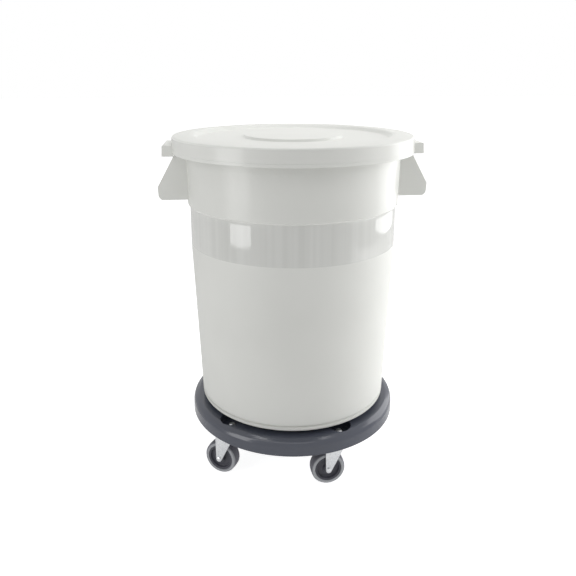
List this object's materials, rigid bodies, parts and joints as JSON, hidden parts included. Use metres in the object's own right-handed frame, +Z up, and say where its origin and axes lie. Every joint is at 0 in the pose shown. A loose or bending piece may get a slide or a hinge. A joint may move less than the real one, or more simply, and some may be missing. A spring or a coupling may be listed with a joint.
{
  "type": "wash bucket",
  "caption": "Tall tapered round bucket with two moulded side handles and a snap-over lid, standing on a round dolly with swivel casters.",
  "frame": {"origin": "on the floor, at the middle of the object's footprint, on the container's axis", "axes": "+Z up along the container's axis, +X and -X through the two handles"},
  "size_m": [0.629, 0.567, 0.7985],
  "materials": {
    "container": "moulded polyethylene, finely textured, cream white",
    "lid": "moulded polyethylene, satin, cream white",
    "deck": "moulded structural plastic, satin slate black",
    "zinc_steel": "pressed steel, bright zinc plated",
    "ball_steel": "polished bearing steel, lightly greased",
    "wheel_core": "moulded polypropylene, dark grey",
    "tyre": "soft grey thermoplastic rubber",
    "bush": "natural nylon bearing sleeve"
  },
  "bodies": {
    "dolly": {"dolly_deck": "deck", "king_bolt_1": "zinc_steel", "king_nut_1": "zinc_steel", "top_raceway_1": "zinc_steel", "ball_ring_1": "ball_steel", "king_bolt_2": "zinc_steel", "king_nut_2": "zinc_steel", "top_raceway_2": "zinc_steel", "ball_ring_2": "ball_steel", "king_bolt_3": "zinc_steel", "king_nut_3": "zinc_steel", "top_raceway_3": "zinc_steel", "ball_ring_3": "ball_steel", "king_bolt_4": "zinc_steel", "king_nut_4": "zinc_steel", "top_raceway_4": "zinc_steel", "ball_ring_4": "ball_steel", "king_bolt_5": "zinc_steel", "king_nut_5": "zinc_steel", "top_raceway_5": "zinc_steel", "ball_ring_5": "ball_steel"},
    "container": {"container": "container"},
    "lid": {"lid": "lid"},
    "caster_1": {"fork_1": "zinc_steel", "axle_bolt_1": "zinc_steel", "axle_nut_1": "zinc_steel"},
    "wheel_1": {"wheel_core_1": "wheel_core", "tyre_1": "tyre", "axle_bush_1": "bush"},
    "caster_2": {"fork_2": "zinc_steel", "axle_bolt_2": "zinc_steel", "axle_nut_2": "zinc_steel"},
    "wheel_2": {"wheel_core_2": "wheel_core", "tyre_2": "tyre", "axle_bush_2": "bush"},
    "caster_3": {"fork_3": "zinc_steel", "axle_bolt_3": "zinc_steel", "axle_nut_3": "zinc_steel"},
    "wheel_3": {"wheel_core_3": "wheel_core", "tyre_3": "tyre", "axle_bush_3": "bush"},
    "caster_4": {"fork_4": "zinc_steel", "axle_bolt_4": "zinc_steel", "axle_nut_4": "zinc_steel"},
    "wheel_4": {"wheel_core_4": "wheel_core", "tyre_4": "tyre", "axle_bush_4": "bush"},
    "caster_5": {"fork_5": "zinc_steel", "axle_bolt_5": "zinc_steel", "axle_nut_5": "zinc_steel"},
    "wheel_5": {"wheel_core_5": "wheel_core", "tyre_5": "tyre", "axle_bush_5": "bush"}
  },
  "joints": [
    {"name": "container_lift", "type": "slide", "parent": "dolly", "child": "container", "axis": [0, 0, 1], "range_m": [0, 0.2]},
    {"name": "lid_lift", "type": "slide", "parent": "container", "child": "lid", "axis": [0, 0, 1], "range_m": [0, 0.25]},
    {"name": "caster_swivel_1", "type": "hinge", "parent": "dolly", "child": "caster_1", "pos_m": [0.0884, -0.19489, 0.115], "axis": [0, 0, 1], "continuous": true},
    {"name": "wheel_spin_1", "type": "hinge", "parent": "caster_1", "child": "wheel_1", "pos_m": [0.06147, -0.19677, 0.04], "axis": [0.0698, -0.9976, 0], "continuous": true},
    {"name": "caster_swivel_2", "type": "hinge", "parent": "dolly", "child": "caster_2", "pos_m": [0.21267, 0.02385, 0.115], "axis": [0, 0, 1], "continuous": true},
    {"name": "wheel_spin_2", "type": "hinge", "parent": "caster_2", "child": "wheel_2", "pos_m": [0.18608, 0.02854, 0.04], "axis": [-0.1736, -0.9848, 0], "continuous": true},
    {"name": "caster_swivel_3", "type": "hinge", "parent": "dolly", "child": "caster_3", "pos_m": [0.04303, 0.20963, 0.115], "axis": [0, 0, 1], "continuous": true},
    {"name": "wheel_spin_3", "type": "hinge", "parent": "caster_3", "child": "wheel_3", "pos_m": [0.0161, 0.21151, 0.04], "axis": [-0.0698, -0.9976, 0], "continuous": true},
    {"name": "caster_swivel_4", "type": "hinge", "parent": "dolly", "child": "caster_4", "pos_m": [-0.18607, 0.1057, 0.115], "axis": [0, 0, 1], "continuous": true},
    {"name": "wheel_spin_4", "type": "hinge", "parent": "caster_4", "child": "wheel_4", "pos_m": [-0.21175, 0.11405, 0.04], "axis": [-0.309, -0.9511, 0], "continuous": true},
    {"name": "caster_swivel_5", "type": "hinge", "parent": "dolly", "child": "caster_5", "pos_m": [-0.15803, -0.1443, 0.115], "axis": [0, 0, 1], "continuous": true},
    {"name": "wheel_spin_5", "type": "hinge", "parent": "caster_5", "child": "wheel_5", "pos_m": [-0.18187, -0.13162, 0.04], "axis": [-0.4695, -0.8829, 0], "continuous": true}
  ]
}
